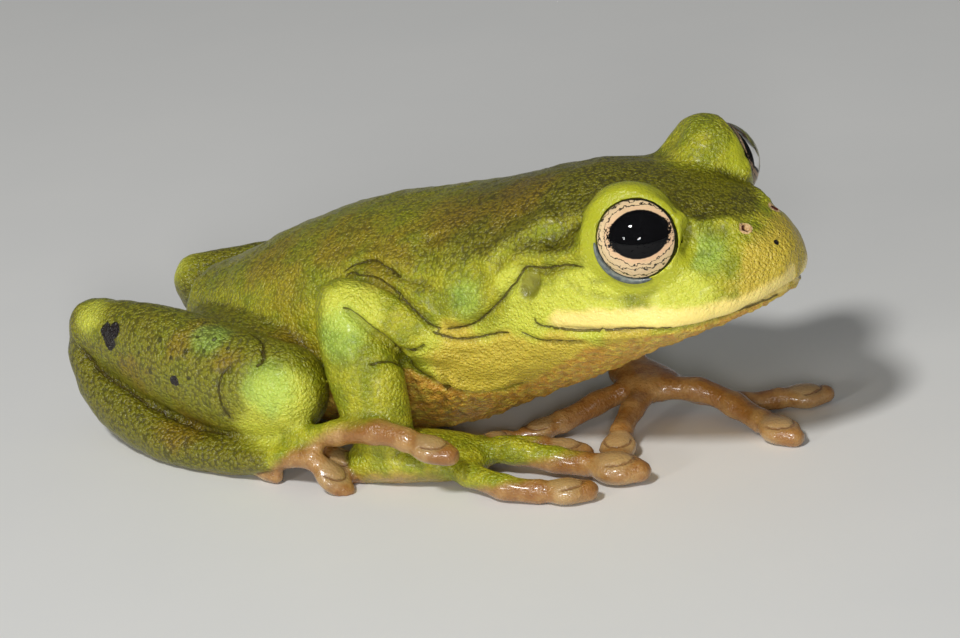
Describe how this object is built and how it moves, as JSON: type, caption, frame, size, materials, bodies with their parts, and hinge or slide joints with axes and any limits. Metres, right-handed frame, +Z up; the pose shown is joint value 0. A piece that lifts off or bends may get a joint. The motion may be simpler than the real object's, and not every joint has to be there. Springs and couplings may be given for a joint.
{
  "type": "tree frog",
  "caption": "Life-size still model of a tree frog sitting with folded legs, raised eyes, smooth green skin and long fingers and toes that end in round pads.",
  "frame": {"origin": "on the floor under the middle of the frog's box", "axes": "+X the way the frog looks, +Y its left side, +Z up"},
  "size_m": [0.0662, 0.0408, 0.0277],
  "materials": {
    "skin": "moist granular skin, yellow-green with an olive back",
    "throat": "moist skin, pale yellow with fine grains",
    "digits": "wet smooth skin, salmon pink",
    "eardrum": "thin stretched skin, olive",
    "eye": "clear wet eye with a cream iris and a black pupil"
  },
  "bodies": {
    "root": {"head": "skin", "lower_jaw": "throat", "trunk": "skin", "eye_right": "eye", "eye_left": "eye", "eardrum_right": "eardrum", "eardrum_left": "eardrum", "upper_arm_right": "skin", "upper_arm_left": "skin", "forearm_right": "skin", "forearm_left": "skin", "hand_right": "skin", "hand_left": "skin", "thigh_right": "skin", "thigh_left": "skin", "shank_right": "skin", "shank_left": "skin", "foot_right": "skin", "foot_left": "skin", "finger_1_right": "digits", "finger_2_right": "digits", "finger_3_right": "digits", "finger_4_right": "digits", "finger_1_left": "digits", "finger_2_left": "digits", "finger_3_left": "digits", "finger_4_left": "digits", "toe_1_right": "digits", "toe_2_right": "digits", "toe_3_right": "digits", "toe_4_right": "digits", "toe_5_right": "digits", "toe_1_left": "digits", "toe_2_left": "digits", "toe_3_left": "digits", "toe_4_left": "digits", "toe_5_left": "digits"}
  },
  "joints": []
}
